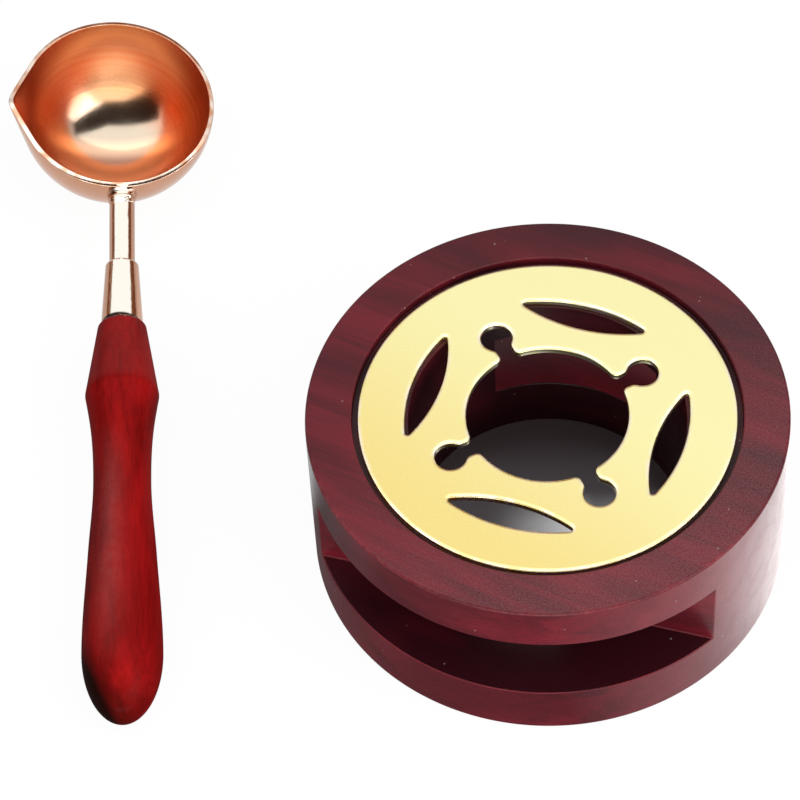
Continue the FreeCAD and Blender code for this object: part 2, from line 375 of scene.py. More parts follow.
def make_metal(name, colour, tarnish_and_shade, deepened, satin_values, gloss, bump):
    """A plated metal. Its rule makes, from the tree, the haze and the place, the share of the darker colour.
    """
    material, tree, shader, place = start_material(name)
    satin = group_node(tree, metal_group, {"Vector": place, **satin_values})
    wear = group_node(tree, wear_highlight_group, {"Vector": place, "Edge": attribute(tree, "edge")})
    toned = mix_colours(tree, deepened(tree, satin["Haze"], place), (*colour, 1), (*tarnish_and_shade, 1))
    toned = mix_colours(tree, attribute(tree, "dark_mark"), toned, dark_mark)
    # Worn edges turn pale, which on the plate's rim and the bowl's lip is also a painted highlight
    wear_and_highlight = times(tree, wear["Wear And Highlight"], 0.8)
    feed(tree, shader.inputs["Base Color"], mix_colours(tree, wear_and_highlight, toned, bright_edge))
    feed(tree, shader.inputs["Roughness"], spread(tree, satin["Haze"], 0.0, 1.0, *gloss))
    feed(tree, shader.inputs["Metallic"], 1.0)
    raise_surface(tree, shader, satin["Height"], bump, metal_bump_height)
    return material, tree, shader, satin


def deeper_in_front(tree, haze, place):
    """A rule for the share of the darker colour, as are the two below; here a painted shade in front."""
    across = add_node(tree, "ShaderNodeSeparateXYZ", {"Vector": place}).outputs
    left_front = plus(tree, across["Y"], times(tree, across["X"], 0.4))
    near = spread(tree, left_front, 0.012, -0.03, 0.0, 0.85)
    return plus(tree, near, times(tree, haze, 0.02))


# Painted reflection: the stem's sides darker brown, broken up a little by the haze
def deeper_at_sides(tree, haze, place):
    uneven = times(tree, calculate(tree, "SUBTRACT", haze, 0.55), 0.7)
    return spread(tree, plus(tree, attribute(tree, "flank"), uneven), 0.25, 0.75)


def deeper_in_haze(tree, haze, place):
    return times(tree, haze, 0.4)


plate_brass, *_ = make_metal(
    "plate_brass", colour=(0.95, 0.89, 0.455), tarnish_and_shade=(0.9, 0.71, 0.24), deepened=deeper_in_front,
    satin_values={"Cloud Scale": 25.0, "Grain Amount": 0.9}, gloss=(0.272, 0.28), bump=0.12)
stem_rose_gold, *_ = make_metal(
    "stem_rose_gold", colour=(1.0, 0.96, 0.86), tarnish_and_shade=(0.52, 0.28, 0.18), deepened=deeper_at_sides,
    satin_values={"Cloud Scale": 520.0, "Wave Amount": 1.2, "Grain Amount": 0.1},
    gloss=(0.08, 0.15), bump=0.15)
print("plated metals:", plate_brass.name, stem_rose_gold.name)


# %% Bowl copper
def fed_by(socket):
    """The output that already feeds an input."""
    return socket.links[0].from_socket


def make_bowl_copper():
    """Polished copper whose inside (mark inside is 1) is redder, spun in rings, and painted with light and
    shade.
    """
    material, tree, shader, satin = make_metal(
        "bowl_copper", colour=(0.68, 0.35, 0.22), tarnish_and_shade=(0.56, 0.26, 0.14), deepened=deeper_in_haze,
        satin_values={"Cloud Scale": 150.0, "Grain Amount": 0.35}, gloss=(0.09, 0.14), bump=0.1)
    inside, ring, far, spout = [attribute(tree, name) for name in ("inside", "ring", "far", "spout")]
    spun = made_by(tree, "ShaderNodeTexNoise", "Fac", {"W": ring, "Scale": 46.0, "Detail": 4.0},
                   noise_dimensions="1D")
    line = times(tree, spread(tree, spun, 0.3, 0.7), inside)
    # The wall: its sides, painted shade at the spout, a painted highlight on its far side, and near the
    # stem a pale strip, painted light that shows only in the bowl's mirror image
    wall = mix_colours(tree, line, (0.68, 0.19, 0.07, 1), (0.61, 0.155, 0.052, 1))
    wall = mix_colours(tree, spread(tree, spout, 0.35, 0.85), wall, (0.5, 0.135, 0.05, 1))
    far_wall = mix_colours(tree, line, (0.99, 0.58, 0.34, 1), (0.96, 0.5, 0.27, 1))
    wall = mix_colours(tree, spread(tree, far, 0.3, 0.9), wall, far_wall)
    wall = mix_colours(tree, spread(tree, far, -0.6, -0.85), wall, (0.97, 0.78, 0.58, 1))
    # The bottom, a painted reflection from the stem's side to the far side: dark, a pale highlight, then
    # duller
    bottom = mix_colours(tree, spread(tree, far, -0.1, 0.04), (0.45, 0.24, 0.17, 1), (0.95, 0.6, 0.4, 1))
    bottom = mix_colours(tree, spread(tree, far, 0.06, 0.2), bottom, (0.48, 0.4, 0.31, 1))
    inner = mix_colours(tree, spread(tree, ring, 0.05, 0.21), bottom, wall)
    outer = fed_by(shader.inputs["Base Color"])
    feed(tree, shader.inputs["Base Color"], mix_colours(tree, inside, outer, inner))
    dull = times(tree, inside, spread(tree, ring, 0.1, 0.24, 0.045, 0.19))
    feed(tree, shader.inputs["Roughness"], plus(tree, fed_by(shader.inputs["Roughness"]), dull))
    grained = calculate(tree, "SUBTRACT", 1.0, times(tree, inside, spread(tree, ring, 0.1, 0.25)))
    height = plus(tree, times(tree, satin["Height"], grained), times(tree, line, 0.5))
    feed(tree, fed_by(shader.inputs["Normal"]).node.inputs["Height"], height)
    return material


bowl_copper = make_bowl_copper()
print("spun metal:", bowl_copper.name)

# %% [markdown]
# ## Finishing a mesh
# Every piece ends the same way: its mesh takes the piece's place, its corners are marked for wear and
# painted highlight, and the piece rides on its body and stands for the measured solid. Modifiers could
# stay live on the pieces, but a plain mesh is easier to mark and to measure, so each draft is evaluated
# and removed.

# %% Finish helpers
sharp_angle = math.radians(40)


def mark(mesh, name, values):
    """Give each point of a mesh a value for its finish."""
    mesh.attributes.new(name, "FLOAT", "POINT").data.foreach_set("value", list(values))


def mark_by_place(mesh, name, rule):
    """Mark each point of a mesh by a rule that takes its place."""
    mark(mesh, name, [rule(vertex.co) for vertex in mesh.vertices])


def mark_edges(mesh, least_turn=12.0):
    """Mark the vertices inside a rounded corner, where the faces on every side turn sharply."""
    work = bmesh.new()
    work.from_mesh(mesh)
    values = []
    for vertex in work.verts:
        turns = [edge.calc_face_angle(0) for edge in vertex.link_edges]
        sharp = [turn for turn in turns if turn > math.radians(least_turn)]
        values.append(1.0 if len(sharp) >= 2 else 0.0)
    work.free()
    mark(mesh, "edge", values)


def finish_piece(name, mesh, body, node, material):
    mesh.name = name
    mesh.materials.clear()
    mesh.materials.append(material)
    if "edge" not in mesh.attributes:
        mark_edges(mesh)
    piece = bpy.data.objects.new(name, mesh)
    scene.collection.objects.link(piece)
    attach(piece, body)
    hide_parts(node)
    mesh.calc_loop_triangles()
    print(name, "has", len(mesh.loop_triangles), "triangles")


def evaluated_mesh(source):
    """The plain mesh that an object's modifiers give. The object itself is removed."""
    bpy.context.view_layer.update()
    graph = bpy.context.evaluated_depsgraph_get()
    mesh = bpy.data.meshes.new_from_object(source.evaluated_get(graph), depsgraph=graph)
    source.modifiers.clear()
    bpy.data.objects.remove(source)
    return mesh


def outward(mesh):
    """Merge doubles and turn the faces of a closed shell outwards."""
    work = bmesh.new()
    work.from_mesh(mesh)
    bmesh.ops.remove_doubles(work, verts=work.verts, dist=1e-7)
    bmesh.ops.recalc_face_normals(work, faces=work.faces)
    work.to_mesh(mesh)
    work.free()
    return mesh


def softened(mesh, width, segments, limit):
    """Bevel the edges that their weight or their angle picks, then even out the flat faces' shading."""
    mesh.shade_smooth()
    draft = bpy.data.objects.new("draft", mesh)
    scene.collection.objects.link(draft)
    bevel = draft.modifiers.new("bevel", "BEVEL")
    bevel.width = width
    bevel.segments = segments
    bevel.limit_method = limit
    bevel.angle_limit = sharp_angle
    bevel.use_clamp_overlap = False
    even = draft.modifiers.new("even", "WEIGHTED_NORMAL")
    even.weight = 100
    return evaluated_mesh(draft)


# %% [markdown]
# ## The warmer's drum
# The real drum is turned from one block and has two flat-backed air notches sawn into it. A Boolean
# cut would leave slivers that spoil a bevel. So the drum is drawn storey by storey instead: every
# circle is divided at the notch corners, walls are bands between circles, and each notch floor is
# one flat face. A weighted bevel then softens the turned rims more than the sawn edges.

# %% Drum sizes and circles
_, drum_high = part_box("warmer_drum")
plate_low, plate_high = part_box("brass_plate")
drum_radius = drum_high.x
bore_radius = 0.02075
recess_radius = 0.0291
notch_floor = 0.0095
notch_ceiling = 0.0225
front_back_wall = 0.0195
rear_back_wall = 0.0165
rim_round = 0.0005
arc_step = 0.0007
print("drum across and tall in mm:", round(2000 * drum_radius, 2), round(1000 * drum_high.z, 2))


def divided_circle(radius, stops):
    """Angles round a circle, evenly divided between the given stops."""
    stops = sorted(stops)
    angles = []
    for first, last in zip(stops, stops[1:] + [stops[0] + 2 * math.pi]):
        count = max(2, round((last - first) * radius / arc_step))
        angles += [first + (last - first) * k / count for k in range(count)]
    return angles


def notch_corners(radius):
    """Where the flat backs of the front and rear notch meet a circle, as (from, to) angles."""
    front = math.acos(front_back_wall / radius)
    rear = math.acos(rear_back_wall / radius)
    return [(-math.pi / 2 - front, -math.pi / 2 + front), (math.pi / 2 - rear, math.pi / 2 + rear)]


def in_span(angle, span):
    return span[0] - 1e-6 <= angle <= span[1] + 1e-6


# %% Drum drawing
class DrumDrawing:
    """Circles of vertices, and the bands and flat faces between them."""

    def __init__(self):
        self.work = bmesh.new()
        self.angles = {}

    def circle(self, radius, level, stops_radius):
        if stops_radius not in self.angles:
            stops = [angle for span in notch_corners(stops_radius) for angle in span]
            halves = [-math.pi, 0.0]
            self.angles[stops_radius] = [
                (a + math.pi) % (2 * math.pi) - math.pi for a in divided_circle(stops_radius, stops + halves)]
        angles = self.angles[stops_radius]
        made = [self.work.verts.new((radius * math.cos(a), radius * math.sin(a), level)) for a in angles]
        return list(zip(angles, made))

    def band(self, lower, upper, skip_spans=()):
        for k in range(len(lower)):
            following = (k + 1) % len(lower)
            a, b = lower[k][0], lower[following][0]
            if any(in_span(a, span) and in_span(b, span) for span in skip_spans):
                continue
            self.work.faces.new((lower[k][1], lower[following][1], upper[following][1], upper[k][1]))

    def arc(self, circle, first, last):
        """The vertices of a circle from one angle to another, in order."""
        span = (last - first) % (2 * math.pi)
        found = []
        for angle, vertex in circle:
            turn = (angle - first + 1e-6) % (2 * math.pi)
            if turn <= span + 2e-6:
                found.append((turn, vertex))
        return [vertex for _, vertex in sorted(found, key=lambda pair: pair[0])]

    def flat(self, outer, inner, outer_span, inner_span):
        """A flat face between an arc of the outer circle and one of the inner circle."""
        self.work.faces.new(self.arc(outer, *outer_span) + self.arc(inner, *inner_span)[::-1])

    def ring(self, outer, inner):
        """A flat ring, as two half rings that meet at the sides."""
        for span in ((-math.pi, 0.0), (0.0, math.pi)):
            self.flat(outer, inner, span, span)


def draw_drum():
    drawing = DrumDrawing()
    top, seat = drum_high.z, plate_low.z
    outer = [drawing.circle(drum_radius, z, drum_radius) for z in (0.0, notch_floor, notch_ceiling, top)]
    bore = [drawing.circle(bore_radius, z, bore_radius) for z in (0.0, notch_floor, notch_ceiling, seat)]
    recess = [drawing.circle(recess_radius, z, drum_radius) for z in (seat, top)]
    outer_spans, bore_spans = notch_corners(drum_radius), notch_corners(bore_radius)
    for walls, spans in ((outer, outer_spans), (bore, bore_spans)):
        drawing.band(walls[0], walls[1])
        drawing.band(walls[1], walls[2], spans)
        drawing.band(walls[2], walls[3])
    drawing.band(recess[0], recess[1])
    drawing.ring(outer[0], bore[0])
    drawing.ring(outer[3], recess[1])
    drawing.ring(recess[0], bore[3])
    for outer_span, bore_span in zip(outer_spans, bore_spans):
        for storey in (1, 2):
            drawing.flat(outer[storey], bore[storey], outer_span, bore_span)
        for side in (0, 1):
            circles = (outer[1], bore[1], bore[2], outer[2])
            corners = [dict((round(a, 6), v) for a, v in circle) for circle in circles]
            places = [outer_span[side], bore_span[side], bore_span[side], outer_span[side]]
            wrapped = [round((a + math.pi) % (2 * math.pi) - math.pi, 6) for a in places]
            drawing.work.faces.new([found[a] for found, a in zip(corners, wrapped)])
    return drawing.work


# %% Drum mesh
sawn_edge_share = 0.4
least_sharp = math.radians(15)


def weigh_edges(work):
    """Bevel weights: full on the turned rims, less on every other sharp edge."""
    weights = work.edges.layers.float.new("bevel_weight_edge")
    for edge in work.edges:
        if edge.calc_face_angle(0) > least_sharp:
            middle = (edge.verts[0].co + edge.verts[1].co) / 2
            turned = math.hypot(middle.x, middle.y) > 0.99 * drum_radius
            at_rim = middle.z < 1e-6 or middle.z > drum_high.z - 1e-6
            edge[weights] = 1.0 if turned and at_rim else sawn_edge_share


drum_drawing = draw_drum()
bmesh.ops.recalc_face_normals(drum_drawing, faces=drum_drawing.faces)
weigh_edges(drum_drawing)
drum_mesh = bpy.data.meshes.new("drum_drawing")
drum_drawing.to_mesh(drum_mesh)
drum_drawing.free()
turned_mesh = softened(drum_mesh, rim_round, segments=4, limit="WEIGHT")
print("drum drawn with", len(turned_mesh.polygons), "faces")

# %% Drum finish
# Shares of painted shade on the drum, darkest in its recesses
recess_shade, bore_shade = 0.93, 0.75
back_shade, slab_shade = 0.6, 0.3
# The most painted sheen, on the drum's top
sheen_share = 0.17


def painted_shade_at(place):
    """Painted shade: most in the recess, the bore and the front notch, then at the left and the back."""
    away = math.hypot(place.x, place.y)
    hidden = away < 1.01 * recess_radius and place.z < drum_high.z - rim_round
    on_floor = abs(place.z - notch_floor) < 1e-6 and away < drum_radius - 5e-5
    if hidden and notch_ceiling - rim_round < place.z < plate_low.z - 5e-5:
        return bore_shade
    # The rear notch's floor has no painted shade, so that it looks lit
    if on_floor and place.y > rear_back_wall - 1e-5:
        return 0.0
    if hidden or on_floor:
        return recess_shade
    # Painted shade towards the back, the left and on the lower slab, away from the light at the front right
    back = np.interp(place.y, (-drum_radius, drum_radius), (0.0, back_shade))
    if away < drum_radius - 1e-5:
        return back
    left = np.interp(place.x / drum_radius, (-0.9, -0.7, -0.1), (1.0, 0.7, 0.0))
    if place.z < notch_floor + 1e-4:
        return max(slab_shade, back, 0.4 * left)
    return max(back, left)


def painted_sheen_at(place):
    """Painted sheen on the top, where the lacquer's pebbling would catch the light from the front and the
    right.
    """
    share = np.interp((0.75 * place.x - 0.66 * place.y) / drum_radius, (-0.3, 0.9), (0.0, sheen_share))
    return share if place.z > drum_high.z - 1e-5 else 0.0


def endgrain(place):
    """1 where the outer wall cuts across the grain, at its left and right."""
    on_wall = math.hypot(place.x, place.y) > drum_radius - 1e-5
    return np.interp(abs(place.x) / drum_radius, (0.35, 0.8), (0.0, 1.0)) if on_wall else 0.0


def rim_wear_and_highlight(place):
    """The round of the outer top rim, which hands rub; its paler edge is also a painted highlight."""
    inside_round = 0.988 * drum_radius < math.hypot(place.x, place.y) < drum_radius - 5e-6
    return float(inside_round and drum_high.z - rim_round < place.z < drum_high.z - 5e-6)


# Marks for painted shade, the rim's wear and painted highlight, painted sheen, and end grain
for name, rule in (("stain_and_shade", painted_shade_at), ("edge", rim_wear_and_highlight), ("painted_sheen", painted_sheen_at), ("endgrain", endgrain)):
    mark_by_place(turned_mesh, name, rule)
finish_piece("turned_drum", turned_mesh, "warmer", "warmer_drum", drum_wood)

# %% [markdown]
# ## The pierced plate
# The real plate is punched from brass sheet, and its cut-outs repeat four times round the middle. A
# Boolean for each would leave edges that a bevel trips over, so Geometry Nodes lays out the outlines
# first. The script draws one keyhole with its share of the middle hole, and one leaf. The tree turns
# copies of both about the centre, joins them to the rim, fills the outline and gives it thickness.

# %% Plate outlines
plate_radius = plate_high.x
plate_thickness = plate_high.z - plate_low.z
plate_turn = -2.25
copies = 4
hole_radius = 0.0121
neck_half_width = 0.00125
end_place = 0.01615
end_radius = 0.0024
hole_corner, end_corner = 0.00099, 0.00144
leaf_pitch_radius = 0.01885
leaf_half_length, leaf_half_width = 0.0102, 0.002175
leaf_tip_radius = 0.00044
outline_step = 0.00022


def arc_points(centre, radius, first, last):
    """Points along an arc, from one angle to another, without its last point."""
    count = max(3, round(abs(last - first) * radius / outline_step))
    turns = [first + (last - first) * k / count for k in range(count)]
    return [(centre[0] + radius * math.cos(a), centre[1] + radius * math.sin(a)) for a in turns]


def keyhole_outline():
    """A quarter of the middle hole with a keyhole in it, from -45 to +45 degrees."""
    inner = (math.sqrt((hole_radius + hole_corner) ** 2 - (neck_half_width + hole_corner) ** 2),
             neck_half_width + hole_corner)
    outer = (end_place - math.sqrt((end_radius + end_corner) ** 2 - (neck_half_width + end_corner) ** 2),
             neck_half_width + end_corner)
    hole_meets = math.atan2(inner[1], inner[0])
    end_meets = math.atan2(outer[1], outer[0] - end_place)
    quarter = math.pi / copies
    half = arc_points((end_place, 0), end_radius, 0, end_meets)
    half += arc_points(outer, end_corner, end_meets - math.pi, -math.pi / 2)
    half += arc_points(inner, hole_corner, -math.pi / 2, hole_meets - math.pi)
    half += arc_points((0, 0), hole_radius, hole_meets, quarter)
    half.append((hole_radius * math.cos(quarter), hole_radius * math.sin(quarter)))
    return [(x, -y) for x, y in reversed(half[1:])] + half


def leaf_outline():
    """A slot between two arcs, with small rounds at its points. It lies across the X axis."""
    bow = (leaf_half_length ** 2 + leaf_half_width ** 2) / (2 * leaf_half_width)
    offset = bow - leaf_half_width
    tip = math.sqrt((bow - leaf_tip_radius) ** 2 - offset ** 2)
    lean = math.atan2(tip, offset)
    side = arc_points((leaf_pitch_radius - offset, 0), bow, -lean, lean)
    side += arc_points((leaf_pitch_radius, tip), leaf_tip_radius, lean, math.pi - lean)
    return side + [(2 * leaf_pitch_radius - x, -y) for x, y in side]


def outline_object(name, outlines):
    """A curve object of plain straight-sided outlines, each given as (points, closed)."""
    curve = bpy.data.curves.new(name, "CURVE")
    curve.dimensions = "3D"
    for points, closed in outlines:
        spline = curve.splines.new("POLY")
        spline.points.add(len(points) - 1)
        spline.points.foreach_set("co", [value for point in points for value in (*point, 1)])
        spline.use_cyclic_u = closed
    made = bpy.data.objects.new(name, curve)
    scene.collection.objects.link(made)
    return made


keyhole, leaf = [[(x, y, 0) for x, y in outline] for outline in (keyhole_outline(), leaf_outline())]
print("points of a keyhole and a leaf:", len(keyhole), len(leaf))

# %% Plate node tree
rim_segments = 360


def merged(tree, geometry, distance):
    inputs = {"Geometry": geometry, "Distance": distance}
    return made_by(tree, "GeometryNodeMergeByDistance", "Geometry", inputs)


def together(tree, *geometries):
    """Several geometries joined into one."""
    joined = add_node(tree, "GeometryNodeJoinGeometry")
    for geometry in geometries:
        tree.links.new(geometry, joined.inputs["Geometry"])
    return joined.outputs["Geometry"]


def coat(tree, geometry, finish, result):
    """End a tree: its copies become real and take their finish."""
    real = made_by(tree, "GeometryNodeRealizeInstances", "Geometry", {"Geometry": geometry})
    coated = made_by(tree, "GeometryNodeSetMaterial", "Geometry", {"Geometry": real, "Material": finish})
    feed(tree, result["Geometry"], coated)


def make_pierced_plate_tree():
    tree, given, result = new_group("pierced_plate", "GeometryNodeTree", [
        ("Outlines", GEOMETRY, None),
        ("Copies", INTEGER, 4),
        ("Rim Radius", FLOAT, 0.02),
        ("Thickness", FLOAT, 0.001),
        ("Finish", MATERIAL, None),
    ], [("Geometry", GEOMETRY)])
    places = made_by(tree, "GeometryNodePoints", "Points", {"Count": given["Copies"]})
    index = made_by(tree, "GeometryNodeInputIndex", "Index")
    step = calculate(tree, "DIVIDE", 2 * math.pi, given["Copies"])
    turn = made_by(tree, "ShaderNodeCombineXYZ", "Vector", {"Z": times(tree, index, step)})
    spun = made_by(tree, "GeometryNodeInstanceOnPoints", "Instances", {
        "Points": places, "Instance": given["Outlines"], "Rotation": turn})
    loose = made_by(tree, "GeometryNodeRealizeInstances", "Geometry", {"Geometry": spun})
    lines = made_by(tree, "GeometryNodeCurveToMesh", "Mesh", {"Curve": loose})
    loops = made_by(tree, "GeometryNodeMeshToCurve", "Curve", {"Mesh": merged(tree, lines, 1e-6)})
    rim = made_by(tree, "GeometryNodeCurvePrimitiveCircle", "Curve", {
        "Resolution": rim_segments, "Radius": given["Rim Radius"]})
    every = together(tree, loops, rim)
    face = made_by(tree, "GeometryNodeFillCurve", "Mesh", {"Curve": every}, mode="NGONS")
    raised = made_by(tree, "GeometryNodeExtrudeMesh", "Mesh", {
        "Mesh": face, "Offset Scale": given["Thickness"], "Individual": False})
    under = made_by(tree, "GeometryNodeFlipFaces", "Mesh", {"Mesh": face})
    coat(tree, merged(tree, together(tree, raised, under), 1e-6), given["Finish"], result)
    return tree


def grow(source, tree, values):
    """Give an object a node tree with these named inputs, and return the plain mesh that it makes."""
    modifier = source.modifiers.new(tree.name, "NODES")
    modifier.node_group = tree
    for item in tree.interface.items_tree:
        if item.in_out == "INPUT" and item.name in values:
            modifier[item.identifier] = values[item.name]
    return evaluated_mesh(source)


plate_outlines = outline_object("plate_outlines", [(keyhole, False), (leaf, True)])
# The keyholes stand halfway between the leaves
for point in plate_outlines.data.splines[0].points:
    point.co.xy = Matrix.Rotation(math.pi / copies, 2) @ point.co.xy
plate_mesh = outward(grow(plate_outlines, make_pierced_plate_tree(), {
    "Copies": copies, "Rim Radius": plate_radius, "Thickness": plate_thickness, "Finish": plate_brass}))
print("plate laid out with", len(plate_mesh.vertices), "points")

# %% Plate bevel and place
plate_bevel = 0.00014
roll_width, roll_drop = 0.00066, 0.00019


def rolled(mesh, width, drop):
    """Let the top's outline fall a little, as a punch leaves it."""
    work = bmesh.new()
    work.from_mesh(mesh)
    top = [face for face in work.faces if face.normal.z > 0.9]
    bmesh.ops.inset_region(work, faces=top, thickness=width, use_even_offset=True, use_boundary=True)
    for vertex in work.verts:
        walls = [face for face in vertex.link_faces if abs(face.normal.z) < 0.1]
        if walls and vertex.co.z > 0.5 * plate_thickness:
            vertex.co.z -= drop
    work.to_mesh(mesh)
    work.free()


rolled(plate_mesh, roll_width, roll_drop)
plate_mesh = softened(plate_mesh, plate_bevel, segments=3, limit="ANGLE")
# Every point below the top's flat is marked as edge, so the fallen outline shows wear and a painted highlight
# along the rim and round the holes
fallen = [float(vertex.co.z < plate_thickness - 0.4 * roll_drop) for vertex in plate_mesh.vertices]
mark(plate_mesh, "edge", fallen)
plate_place = Matrix.Translation((0, 0, plate_low.z))
plate_mesh.transform(plate_place @ Matrix.Rotation(math.radians(plate_turn), 4, "Z"))
finish_piece("pierced_plate", plate_mesh, "plate", "brass_plate", plate_brass)

# %% [markdown]
# ## The spoon's place
# The spoon lies on the table on two points: the bowl's round bottom and the handle's swell. All its
# pieces are drawn in the spoon's own frame, with X along the stem and the bowl's centre at zero, and
# one matrix lays them down. Drawn in place, every slope would have to be worked out piece by piece.

# %% Spoon frame
ball_radius = 0.0158826
rim_level = 0.0010174
stem_level, stem_side = -0.0028016, 0.00065
swell_place, swell_radius = 0.1002371, 0.00615
rest_gap = 0.00005
spoon_place = Vector((-0.0863, 0.05274, ball_radius + rest_gap))
spoon_heading = -72.1
bowl_tip, bowl_roll = 4.4, 8.3

axis_depth = swell_radius - stem_level
lean = math.asin(ball_radius / math.hypot(axis_depth, swell_place)) - math.atan2(axis_depth, swell_place)
spoon_matrix = Matrix.Translation(spoon_place) @ Matrix.Rotation(math.radians(spoon_heading), 4, "Z")
spoon_matrix @= Matrix.Rotation(lean, 4, "Y")
stem_matrix = spoon_matrix @ Matrix.Translation((0, stem_side, stem_level))
bowl_matrix = spoon_matrix @ Matrix.Rotation(math.radians(bowl_tip), 4, "Y")
bowl_matrix @= Matrix.Rotation(math.radians(-bowl_roll), 4, "X")
print("the spoon leans by", round(math.degrees(lean), 2), "degrees")

# %% [markdown]
# ## The bowl
# The bowl is a ball drawn out to a point at one side, cut level. Pulling the points of a half ball
# about by hand would let its wall thin out. Seen from the ball's centre, the wall lies at one
# distance all round, and further out only towards the spout, where it follows the cone that touches
# the ball, so one formula gives the distance in every direction. Rings of points run from the bottom
# up the outside, over the lip, which is filed to slope outwards, and down the inside. The mesh also
# marks its inside, its lip, each ring's height, its far side, its spout and a dark mark at the spout's
# tip, for the finish.

# %% Bowl wall
bowl_wall = 0.0007
spout_half_angle = math.radians(62.0)
spout_rise = math.asin(rim_level * math.sin(spout_half_angle) / ball_radius)
spout_blunting = 0.05
wall_rows = 56
print("the spout rises by", round(math.degrees(spout_rise), 2), "degrees")


def wall_distance(direction, radius):
    """How far the drawn-out ball lies from its centre in each direction."""
    along_spout = direction[..., 2] * math.sin(spout_rise) - direction[..., 1] * math.cos(spout_rise)
    off_spout = np.hypot(np.arccos(np.clip(along_spout, -1, 1)), spout_blunting)
    touching = math.pi / 2 - spout_half_angle
    return np.where(off_spout < touching, radius / np.cos(touching - off_spout), radius)


def wall_point(turn, fall, radius):
    """Points of the wall. Turn goes round the bowl, and fall is the angle up from its bottom."""
    direction = np.stack([np.sin(fall) * np.cos(turn), np.sin(fall) * np.sin(turn), -np.cos(fall)], axis=-1)
    return direction * wall_distance(direction, radius)[..., None]


def fall_at_level(turn, level, radius):
    """The angle at which the wall reaches a level, found by halving."""
    low, high = np.full_like(turn, 0.5), np.full_like(turn, 2.0)
    for _ in range(40):
        middle = (low + high) / 2
        below = wall_point(turn, middle, radius)[..., 2] < level
        low, high = np.where(below, middle, low), np.where(below, high, middle)
    return middle


def wall_rings(turn, level, radius):
    """Rings up a wall, from just above its bottom to a level."""
    top = fall_at_level(turn, level, radius)
    return [wall_point(turn, top * part, radius) for part in np.linspace(0, 1, wall_rows + 1)[1:]]


# %% Bowl rings
lip_slope = math.radians(20.0)
lip_round = 0.00012
around_count, corner_rows = 360, 4
spout_crowding = 1.7


def bent(first, corner, last, t):
    """A place on the round that replaces a corner, from 0 at its first end to 1 at its last."""
    return first * (1 - t) ** 2 + corner * 2 * t * (1 - t) + last * t ** 2


def corner_rings(first, corner, last):
    """Rings round a corner, between two rings that are already there."""
    return [bent(first, corner, last, k / (corner_rows + 1)) for k in range(1, corner_rows + 1)]


def bowl_rings():
    """All rings, from the outside's bottom to the inside's, each with its inside and lip marks."""
    share = np.linspace(-1, 1, around_count, endpoint=False)
    turn = -math.pi / 2 + math.pi * np.sign(share) * np.abs(share) ** spout_crowding
    inner_radius = ball_radius - bowl_wall
    outer_level = rim_level - bowl_wall * math.tan(lip_slope)
    outer = wall_rings(turn, outer_level - lip_round, ball_radius)
    inner = wall_rings(turn, rim_level - lip_round, inner_radius)
    outer_corner = wall_point(turn, fall_at_level(turn, outer_level, ball_radius), ball_radius)
    inner_corner = wall_point(turn, fall_at_level(turn, rim_level, inner_radius), inner_radius)
    near_outer = outer_corner + (inner_corner - outer_corner) * lip_round / bowl_wall
    near_inner = inner_corner + (outer_corner - inner_corner) * lip_round / bowl_wall
    rings = [(ring, 0.0, 0.0) for ring in outer]
    rings += [(ring, 0.0, 1.0) for ring in corner_rings(outer[-1], outer_corner, near_outer)]
    rings += [(near_outer, 0.0, 1.0), ((near_outer + near_inner) / 2, 0.0, 1.0), (near_inner, 0.0, 1.0)]
    rings += [(ring, 0.5, 1.0) for ring in corner_rings(near_inner, inner_corner, inner[-1])]
    return rings + [(ring, 1.0, 0.0) for ring in reversed(inner)]


# %% Bowl mesh
# How far the dark mark at the spout's tip reaches
tip_mark_reach = 0.0008


def tube_faces(row_count, around):
    """Faces between rows of points that each go once round."""
    faces = []
    for row in range(row_count - 1):
        for k in range(around):
            here, following = row * around + k, row * around + (k + 1) % around
            faces.append((here, following, following + around, here + around))
    return faces


def draw_bowl():
    rings = bowl_rings()
    poles = [(0, 0, -ball_radius), (0, 0, bowl_wall - ball_radius)]
    points = np.concatenate([ring for ring, _, _ in rings] + [poles])
    faces = tube_faces(len(rings), around_count)
    bottom, floor, last = len(points) - 2, len(points) - 1, (len(rings) - 1) * around_count
    for k in range(around_count):
        following = (k + 1) % around_count
        faces.append((bottom, following, k))
        faces.append((floor, last + k, last + following))
    mesh = bpy.data.meshes.new("bowl")
    mesh.from_pydata(points.tolist(), [], faces)
    mesh.shade_smooth()
    mark(mesh, "inside", [value for _, value, _ in rings for _ in range(around_count)] + [0.0, 1.0])
    # The lip and its rounds are marked as edge: worn paler, and a painted highlight
    mark(mesh, "edge", [value for _, _, value in rings for _ in range(around_count)] + [0.0, 0.0])
    mark(mesh, "ring", points[:, 2] / (2 * ball_radius) + 0.5)
    mark(mesh, "far", -points[:, 0] / ball_radius)
    mark(mesh, "spout", -points[:, 1] / ball_radius)
    spout_tip = points[np.argmin(points[:, 1])]
    from_tip = np.linalg.norm(points - spout_tip, axis=1)
    mark(mesh, "dark_mark", 0.8 * np.clip(1.5 - from_tip / tip_mark_reach, 0, 1))
    return mesh


bowl_mesh = draw_bowl()
bowl_mesh.transform(bowl_matrix)
finish_piece("drawn_bowl", bowl_mesh, "spoon", "spoon_bowl", bowl_copper)

# %% [markdown]
# ## Turned pieces
# Stem, ferrule and handle are all turned on a lathe. A Screw modifier could turn each profile, but
# one tree with named inputs does all three: it lays a grid out with one row for each point of the
# profile, swings every column to its own angle, and merges the seam. The profile is drawn with X
# along the axis and Z as the radius.

